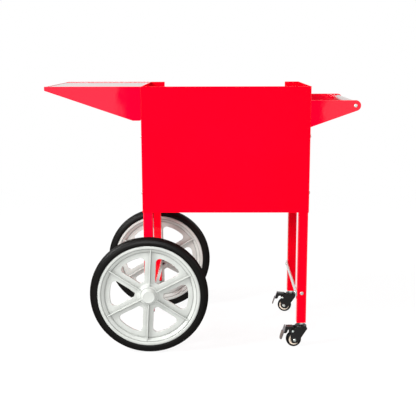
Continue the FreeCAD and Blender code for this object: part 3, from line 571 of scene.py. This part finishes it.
def rim_rib(index):
    """A thin rib along a spoke, from the hub up the slope to the bead."""
    middle = (RIB_START + RIB_END) / 2
    size = ((RIB_END - RIB_START) * MM, 2 * RIB_HALF * MM, RIB_T * MM)
    rib = prism("rim_rib", (middle * MM, 0, 0), size, 0.8 * MM)
    return turned_mesh(rib, Matrix.Rotation(math.radians(360 / SPOKES * index + 90), 4, "Y"))


def rim_hub():
    """The hub: it flares smoothly into the web, with the cap's seat outside and a plain sleeve inside."""
    outer = [(-17.0, 18.5), (-17.0, 21.9), (-16.7, 22.2), (-HUB_HALF, 22.2), (-HUB_HALF, 27.6),
             (-12.4, 28.4), (-10.6, 29.6), (-8.6, 31.0), (-6.8, 32.8), (-5.5, 35.2), (-4.6, 38.6),
             (-3.0, 39.2)]
    inner = [(3.0, 43.0), (4.4, 42.5), (5.2, 39.0), (6.6, 36.4), (8.6, 34.6), (11.8, 33.6),
             (HUB_HALF, 32.6), (HUB_HALF, 20.4), (13.6, 20.0), (SLEEVE_END - 0.8, 20.0),
             (SLEEVE_END, 19.2), (SLEEVE_END, BORE_R), (-HUB_HALF, BORE_R), (-HUB_HALF, 18.5)]
    return lathe("rim_hub", scaled(outer + inner), 96)


def tyre_outline():
    """A round tyre with a raised line on each shoulder, shallow tread grooves and a foot in the rim's bed."""
    centre = TYRE_R - TYRE_ROUND
    foot = math.degrees(math.asin((FLANGE_R - centre) / TYRE_ROUND))
    outline = [(BED_HALF, BED_R), (MOUTH_HALF, FLANGE_R)]
    steps = 64
    for i in range(steps + 1):
        degrees = foot + (180 - 2 * foot) * i / steps
        turn = math.radians(degrees)
        u = TYRE_ROUND * math.cos(turn)
        radius = TYRE_ROUND
        for groove in TREAD_GROOVES:
            radius -= GROOVE_DEPTH * max(0.0, 1 - abs(u - groove) / GROOVE_HALF)
        if SHOULDER_ARC[0] < min(degrees, 180 - degrees) < SHOULDER_ARC[1]:
            radius += SHOULDER_LINE
        outline.append((radius * math.cos(turn), centre + radius * math.sin(turn)))
    return outline + [(-MOUTH_HALF, FLANGE_R), (-BED_HALF, BED_R)]


def wheel_cap():
    """A hollow hub cap: brim, cone with a soft shoulder and a slightly dished disc."""
    outline = [(-HUB_HALF, 22.6), (-HUB_HALF, 25.0), (-13.4, 25.2), (-15.4, 25.2), (-16.3, 24.9),
               (-17.1, 24.3), (-25.2, 19.6), (-26.2, 18.8), (-26.8, 17.9), (-27.0, 17.0), (-26.9, 16.0),
               (-26.5, 15.3), (-26.4, 13.0), (-26.4, 0.0), (-24.0, 0.0), (-24.0, 16.0), (-17.4, 22.6)]
    return lathe("wheel_cap", scaled(outline), 96)


def make_wheel(name, end):
    """Rim, tyre and cap of one large wheel; the outer face looks away from the cart."""
    low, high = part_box(name + "_wheel_tyre")
    place = Matrix.Translation((low + high) / 2) @ Matrix.Rotation(math.radians(WHEEL_REST[name]), 4, "Y")
    if end > 0:
        place = place @ Matrix.Rotation(math.pi, 4, "Z")
    body = name + "_wheel"
    rim = union("rim", [rim_band(), rim_web(), rim_hub()] + [rim_rib(i) for i in range(SPOKES)])
    build(name + "_rim", rim, place, body, [name + "_wheel_rim"], "grey_plastic")
    tyre = lathe("tyre", scaled(tyre_outline()), 160)
    build(name + "_tyre", tyre, place, body, [name + "_wheel_tyre"], "tyre_rubber")
    build(name + "_hub_cap", wheel_cap(), place, body, [name + "_wheel_cap"], "grey_plastic")


# ---- casters -------------------------------------------------------------------------------------
# Drawn in millimetres about the stem's axis with the wheel towards -X, then carried under each caster leg.

SWIVEL_REST = {"front": 8.0, "rear": -11.0}
TRAIL = 22.5
CASTER_R = 24.0
CORE_R = 17.2
FORK_INNER = 13.0
FORK_T = 2.5
BOSS_H = 0.7
BOSS_R = 8.4
KINGPIN_BORE = 4.05
CROWN_LOW = 58.0
CROWN_HIGH = 64.0
PIVOT = (-28.5, 53.0)
PEDAL_TOP = (-49.0, 70.0)
PEDAL_FOOT = (-63.5, 24.0)
PEDAL_WIDEST = 0.42
PEDAL_LOWER = 0.8
LEVER_HALF = 10.0
LEVER_HUB_R = 4.6
RIVET_BORE = 2.05
WEB_END = -26.0
PAD_RIBS = 5
PAD_PITCH = 4.6

# How far down the pedal plate the lever's flanges begin and end
FLANGE_HIGH = 2.6
FLANGE_LOW = 24.5

# Turns what is drawn along Y to stand along Z
STAND_UP = Matrix.Rotation(math.radians(90), 4, "X")


def caster_place(name):
    """From the caster's own axes to the floor under its leg, turned to rest."""
    low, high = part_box(name + "_right_leg")
    centre = (low + high) / 2
    return (Matrix.Translation((centre.x, centre.y, 0)) @
            Matrix.Rotation(math.radians(SWIVEL_REST[name]), 4, "Z"))


def moved(mesh, x, y, z):
    return turned_mesh(mesh, Matrix.Translation((x * MM, y * MM, z * MM)))


def disc(name, x, y_low, y_high, z, radius, edge=0.4, bore=0.0):
    """A round boss along Y with soft rims, solid or bored."""
    outline = [(y_low, bore), (y_low, radius - edge), (y_low + edge, radius), (y_high - edge, radius),
               (y_high, radius - edge), (y_high, bore)]
    return moved(lathe(name, scaled(outline), 48), x, 0, z)


def fork_side(side):
    """One side plate with its pressed boss around the axle."""
    corners = [(17.0, CROWN_HIGH, 1.5), (-18.5, CROWN_HIGH, 6.0), (-33.5, 57.0, 4.0), (-35.0, 36.0, 6.0),
               (-33.0, 13.5, 9.0), (-12.0, 13.5, 9.0), (1.0, 34.0, 5.0), (18.0, 59.0, 4.0)]
    mid = side * (FORK_INNER + FORK_T / 2)
    wall = moved(plate("fork_side", [scaled(rounded(corners, 6))], FORK_T * MM, 0.7 * MM), 0, mid, 0)
    face = side * (FORK_INNER + FORK_T)
    ends = sorted((face - side, face + side * BOSS_H))
    boss = disc("boss", -TRAIL, ends[0], ends[1], CASTER_R, BOSS_R)
    return [wall, boss]


def caster_fork():
    """Side plates, crown and the two-part swivel housing with its raceway line."""
    crown_corners = [(17.0, -15.5, 4.0), (17.0, 15.5, 4.0), (-16.0, 15.5, 4.0), (-16.0, -15.5, 4.0)]
    crown = plate("crown", [scaled(rounded(crown_corners, 6))], (CROWN_HIGH - CROWN_LOW) * MM, 1.0 * MM)
    crown = moved(turned_mesh(crown, STAND_UP), 0, 0, (CROWN_LOW + CROWN_HIGH) / 2)
    housing = [(61.0, KINGPIN_BORE), (61.0, 17.4), (62.4, 18.5), (66.0, 18.5), (66.2, 18.0), (66.8, 18.0),
               (67.0, 18.5), (68.4, 18.2), (69.7, 17.2), (70.6, 15.6), (71.0, 13.6), (71.0, 12.3),
               (70.4, 11.9), (70.4, KINGPIN_BORE)]
    housing = turned_mesh(lathe("housing", scaled(housing), 72), STAND_UP)
    return union("caster_fork", [crown, housing] + fork_side(-1) + fork_side(1))


def caster_tyre():
    outer = [(-9.0, CORE_R), (-9.7, 17.8), (-10.0, 18.8), (-10.0, 20.4), (-9.5, 21.8), (-8.2, 22.9),
             (-6.0, 23.6), (-3.0, 23.93), (-0.35, CASTER_R), (-0.3, 23.8)]
    return moved(lathe("caster_tyre", scaled(mirrored(outer)), 80), -TRAIL, 0, CASTER_R)


def caster_core():
    """The pale wheel centre: a dished web inside a rim ring, and a hub that reaches close to the fork."""
    outer = [(-8.7, CORE_R), (-9.0, 16.9), (-9.0, 13.9), (-8.6, 13.4), (-6.4, 12.6), (-6.0, 12.0),
             (-6.0, 7.6), (-6.5, 7.0), (-12.4, 6.5), (-12.8, 6.1), (-12.8, 3.05)]
    return moved(lathe("caster_core", scaled(mirrored(outer)), 72), -TRAIL, 0, CASTER_R)


def cross_pin(name, x, z, shank, head, head_height):
    """A pin through the fork with the same domed head on both sides."""
    outer = FORK_INNER + FORK_T + BOSS_H
    full = outer + head_height
    parts = [disc("shank", x, -outer, outer, z, shank, 0.2)]
    for side in (-1, 1):
        dome = [(outer, 0.0), (outer, head), (outer + head_height * 0.35, head),
                (full - 0.5, head * 0.8), (full - 0.1, head * 0.5), (full, 0.0)]
        mesh = lathe("head", scaled([(side * u, r) for u, r in dome]), 40)
        parts.append(moved(mesh, x, 0, z))
    return union(name, parts)


def pedal_axes():
    """A matrix from the pedal plate's own axes (across, outward, up along it) to the caster's."""
    top = Vector((PEDAL_TOP[0], 0, PEDAL_TOP[1])) * MM
    foot = Vector((PEDAL_FOOT[0], 0, PEDAL_FOOT[1])) * MM
    up = (top - foot).normalized()
    across = Vector((0, 1, 0))
    outward = up.cross(across)
    turn = Matrix((across, outward, up)).transposed().to_4x4()
    return Matrix.Translation(top) @ turn


def pedal_length():
    return math.dist(PEDAL_TOP, PEDAL_FOOT)


def lever():
    """A pressed channel over the wheel with the pedal plate across its end."""
    hub_x, hub_z = PIVOT
    along = (Vector(PEDAL_FOOT) - Vector(PEDAL_TOP)).normalized()
    high = Vector(PEDAL_TOP) + along * FLANGE_HIGH
    low = Vector(PEDAL_TOP) + along * FLANGE_LOW
    corners = [(-24.0, 49.5, 4.0), (-21.5, 64.0, 2.5), (-26.0, 67.0, 3.0), (high.x, high.y, 0.5),
               (low.x, low.y, 0.5), (-47.0, 45.5, 5.0), (-42.5, 57.0, 4.0), (-34.5, 57.5, 3.0),
               (-33.5, 49.5, 4.0)]
    parts = []
    for side in (-1, 1):
        flange = plate("flange", [scaled(rounded(corners, 5))], 2.0 * MM, 0.5 * MM)
        parts.append(moved(flange, 0, side * (LEVER_HALF - 1), 0))
    hub_half = FORK_INNER - 0.2
    parts.append(disc("hub", hub_x, -hub_half, hub_half, hub_z, LEVER_HUB_R, bore=RIVET_BORE))
    web_middle = (high.x + WEB_END) / 2
    web_size = ((WEB_END - high.x) * MM, 19.6 * MM, 1.9 * MM)
    parts.append(prism("web", (web_middle * MM, 0, 66.0 * MM), web_size, 0.5 * MM))
    return union("lever", parts)


def pedal_plate():
    """A leaf-shaped plate, widest below its middle."""
    length = pedal_length()
    widest = -length * PEDAL_WIDEST
    lower = -length * PEDAL_LOWER
    corners = [(-8.5, 0.0, 4.0), (8.5, 0.0, 4.0), (12.0, widest, 12.0), (11.4, lower, 8.0),
               (7.0, -length, 4.5), (-7.0, -length, 4.5), (-11.4, lower, 8.0), (-12.0, widest, 12.0)]
    mesh = plate("pedal_plate", [scaled(rounded(corners, 6))], 2.0 * MM, 0.6 * MM)
    return turned_mesh(moved(mesh, 0, 1.0, 0), pedal_axes())


def foot_pad():
    """A ribbed pad over the lower half of the pedal plate."""
    length = pedal_length()
    start = -length * PEDAL_WIDEST
    lower = -length * PEDAL_LOWER
    end = -length + 1.0
    corners = [(-11.0, start, 2.0), (11.0, start, 2.0), (10.4, lower, 8.0), (6.4, end, 4.0),
               (-6.4, end, 4.0), (-10.4, lower, 8.0)]
    parts = [moved(plate("pad", [scaled(rounded(corners, 6))], 1.8 * MM, 0.5 * MM), 0, 2.9, 0)]
    for i in range(PAD_RIBS):
        up = start - 3.2 - PAD_PITCH * i
        wide = 19.0 if i < PAD_RIBS - 1 else 15.0
        parts.append(prism("rib", (0, 4.0 * MM, up * MM), (wide * MM, 1.8 * MM, 1.9 * MM), 0.4 * MM))
    return turned_mesh(union("foot_pad", parts), pedal_axes())


def make_caster(name):
    """One caster with its wheel and brake, at its own swivel angle."""
    place = caster_place(name)
    fork_body = name + "_caster"
    wheel_body = name + "_caster_wheel"
    brake_body = name + "_brake"
    build(name + "_fork", caster_fork(), place, fork_body, [name + "_caster_fork"], "black_steel")
    axle = cross_pin("axle", -TRAIL, CASTER_R, shank=3.0, head=5.0, head_height=3.2)
    build(name + "_axle_bolt", axle, place, fork_body, [name + "_caster_axle"], "zinc")
    rivet = cross_pin("rivet", *PIVOT, shank=2.0, head=3.6, head_height=1.6)
    build(name + "_brake_rivet", rivet, place, fork_body, [name + "_brake_pin"], "zinc")
    build(name + "_small_tyre", caster_tyre(), place, wheel_body, [name + "_caster_tyre"], "tyre_rubber")
    build(name + "_small_core", caster_core(), place, wheel_body, [name + "_caster_core"], "cream_plastic")
    build(name + "_lever", lever(), place, brake_body, [name + "_brake_pedal"], "black_steel")
    build(name + "_pedal", pedal_plate(), place, brake_body, [name + "_brake_pedal"], "black_zinc")
    build(name + "_foot_pad", foot_pad(), place, brake_body, [name + "_pedal_pad"], "pad_rubber")


# ---- stage ---------------------------------------------------------------------------------------

FLOOR_SIZE = 60.0
FLOOR_FADE = (1.2, 3.0)
FLOOR_GLOW = 0.88
SWEEP_LEVEL = 0.95
ROOM_LEVEL = 0.05
AMBIENT_LEVEL = 0.45
GAP_MIDDLE = 0.008
GAP_HALF = 0.127
GAP_EDGE = 0.005
SIDE_START = 0.35
SIDE_FULL = 0.75
SIDE_LOW = 0.34
SIDE_HIGH = 0.42
LIGHT_AIM = 0.42

# Parts of the sky direction, of length 1, over which a part of the studio fades in
SWEEP_FADE = (0.06, -0.02)
GAP_TOP_FADE = (0.1, 0.2)
BEHIND_FADE = (-0.1, 0.12)
OVERHEAD_FADE = (0.75, 0.95)
SIDE_FADE = (-0.10, 0.20)


def make_floor():
    """A pale floor that runs out into the white of the background."""
    mesh = bpy.data.meshes.new("studio_floor")
    half = FLOOR_SIZE / 2
    corners = [(-half, -half, 0), (half, -half, 0), (half, half, 0), (-half, half, 0)]
    mesh.from_pydata(corners, [], [(0, 1, 2, 3)])
    floor = bpy.data.objects.new("studio_floor", mesh)
    bpy.context.scene.collection.objects.link(floor)
    pale = bpy.data.materials.new("studio_floor")
    pale.use_nodes = True
    tree = pale.node_tree
    matt = tree.nodes["Principled BSDF"]
    matt.inputs["Base Color"].default_value = rgb(0.9, 0.9, 0.9)
    matt.inputs["Roughness"].default_value = 0.9
    glow = add_node(tree, "ShaderNodeEmission", {"Color": rgb(1, 1, 1), "Strength": 1.0})
    place = add_node(tree, "ShaderNodeTexCoord").outputs["Object"]
    away = add_node(tree, "ShaderNodeVectorMath", {0: place}, operation="LENGTH").outputs["Value"]
    span = {"Value": away, "From Min": FLOOR_FADE[0], "From Max": FLOOR_FADE[1], "To Min": FLOOR_GLOW}
    fade = add_node(tree, "ShaderNodeMapRange", span, interpolation_type="SMOOTHSTEP")
    layers = {0: fade.outputs[0], 1: matt.outputs[0], 2: glow.outputs[0]}
    mixed = add_node(tree, "ShaderNodeMixShader", layers)
    tree.links.new(mixed.outputs[0], tree.nodes["Material Output"].inputs["Surface"])
    mesh.materials.append(pale)
    floor.visible_glossy = False


def make_sky():
    """A studio for reflections: white sweep below and behind, a dark gap in front, a dim room above.

    The camera sees plain white, and matt surfaces get an even, weaker light.
    """
    world = bpy.data.worlds.new("studio")
    bpy.context.scene.world = world
    world.use_nodes = True
    tree = world.node_tree
    tree.nodes.clear()

    def maths(operation, first, second=0.0):
        return add_node(tree, "ShaderNodeMath", {0: first, 1: second}, operation=operation).outputs[0]

    def ramp(value, low, high, to_low=0.0, to_high=1.0):
        inputs = {"Value": value, "From Min": low, "From Max": high, "To Min": to_low, "To Max": to_high}
        return add_node(tree, "ShaderNodeMapRange", inputs, interpolation_type="SMOOTHSTEP").outputs[0]

    def background(strength):
        inputs = {"Color": rgb(1, 1, 1), "Strength": strength}
        return add_node(tree, "ShaderNodeBackground", inputs).outputs[0]

    def pick(amount, first, second):
        return add_node(tree, "ShaderNodeMixShader", {0: amount, 1: first, 2: second}).outputs[0]

    direction = add_node(tree, "ShaderNodeTexCoord").outputs["Generated"]
    axes = add_node(tree, "ShaderNodeSeparateXYZ", {0: direction}).outputs
    slope = maths("DIVIDE", axes["X"], maths("MULTIPLY", axes["Y"], -1.0))
    aside = maths("ABSOLUTE", maths("SUBTRACT", slope, GAP_MIDDLE))
    beside_gap = ramp(aside, GAP_HALF - GAP_EDGE, GAP_HALF + GAP_EDGE)
    sweep = maths("MULTIPLY", beside_gap, ramp(axes["Z"], *SWEEP_FADE))
    front = maths("MAXIMUM", maths("MULTIPLY", sweep, SWEEP_LEVEL), ROOM_LEVEL)
    outside_gap = maths("MAXIMUM", beside_gap, ramp(axes["Z"], *GAP_TOP_FADE))
    seen_front = maths("MULTIPLY", front, outside_gap)
    behind = ramp(axes["Y"], *BEHIND_FADE)
    top = maths("MULTIPLY", ramp(axes["Z"], *OVERHEAD_FADE), SWEEP_LEVEL)
    ahead = maths("MAXIMUM", maths("MAXIMUM", seen_front, top), behind)
    around = ramp(maths("ABSOLUTE", slope), SIDE_START, SIDE_FULL)
    sides = ramp(axes["Z"], *SIDE_FADE, SIDE_LOW, SIDE_HIGH)
    reflected = add_node(tree, "ShaderNodeMix", {0: around, 2: ahead, 3: sides}, data_type="FLOAT").outputs[0]
    ray = add_node(tree, "ShaderNodeLightPath")
    soft = pick(ray.outputs["Is Diffuse Ray"], background(reflected), background(AMBIENT_LEVEL))
    seen = pick(ray.outputs["Is Camera Ray"], soft, background(1.0))
    add_node(tree, "ShaderNodeOutputWorld", {"Surface": seen})


def make_lights():
    area_light("key_light", -62, 31, 3.2, (0.9, 0.9), 120.0)
    area_light("front_light", -10, 21, 3.4, (1.2, 0.8), 62.0)
    area_light("side_light", 66, 22, 3.2, (0.35, 1.5), 14.0)
    area_light("back_light", 128, 30, 3.4, (1.2, 0.9), 44.0)
    area_light("rim_light", -118, 28, 3.4, (0.9, 0.9), 30.0)


make_camera()
make_sky()
make_lights()
make_floor()
dress_cad_nodes()
for end_name, end_side in ENDS.items():
    make_wheel(end_name, end_side)
    make_caster(end_name)
bpy.context.scene.view_settings.view_transform = "Standard"
